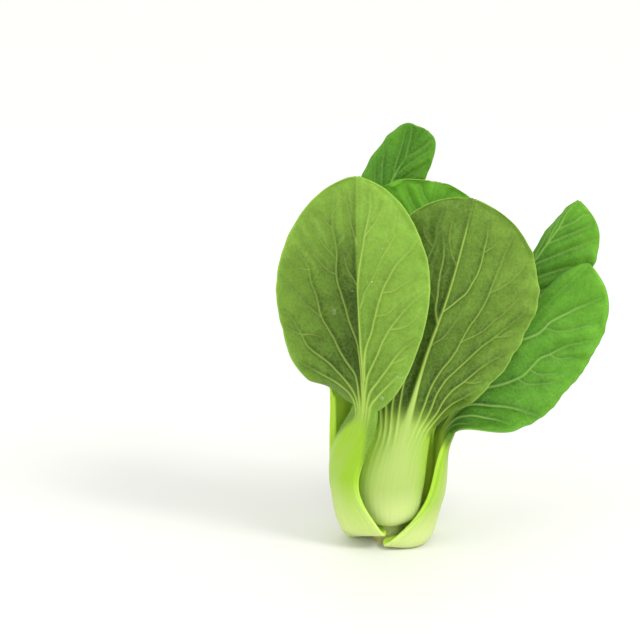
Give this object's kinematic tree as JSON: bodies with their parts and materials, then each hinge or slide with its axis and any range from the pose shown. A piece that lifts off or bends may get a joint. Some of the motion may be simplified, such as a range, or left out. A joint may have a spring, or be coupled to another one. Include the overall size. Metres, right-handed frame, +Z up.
{
  "type": "bok choy",
  "caption": "Baby bok choy head standing on its cut stem: pale spoon-shaped stalks clasping one another, with broad round green blades veined and waved.",
  "frame": {"origin": "centre of the cut stem end, on the surface the head stands on", "axes": "+Z up along the head's axis; -Y is the front, where two leaf backs show; +X to the right"},
  "size_m": [0.1482, 0.0859, 0.1874],
  "materials": {
    "stem": "matte",
    "stalk": "satin",
    "blade_back": "satin",
    "blade_front": "satin"
  },
  "bodies": {
    "root": {"stem": "stem", "leaf_front_left_stalk": "stalk", "leaf_front_left_blade": "blade_back", "leaf_right_stalk": "stalk", "leaf_right_blade": "blade_front", "leaf_back_left_stalk": "stalk", "leaf_back_left_blade": "blade_back", "leaf_back_stalk": "stalk", "leaf_back_blade": "blade_front", "leaf_back_right_stalk": "stalk", "leaf_back_right_blade": "blade_front", "leaf_front_stalk": "stalk", "leaf_front_blade": "blade_back", "leaf_rear_inner_stalk": "stalk", "leaf_rear_inner_blade": "blade_front", "leaf_left_inner_stalk": "stalk", "leaf_left_inner_blade": "blade_front", "leaf_right_inner_stalk": "stalk", "leaf_right_inner_blade": "blade_front"}
  },
  "joints": []
}
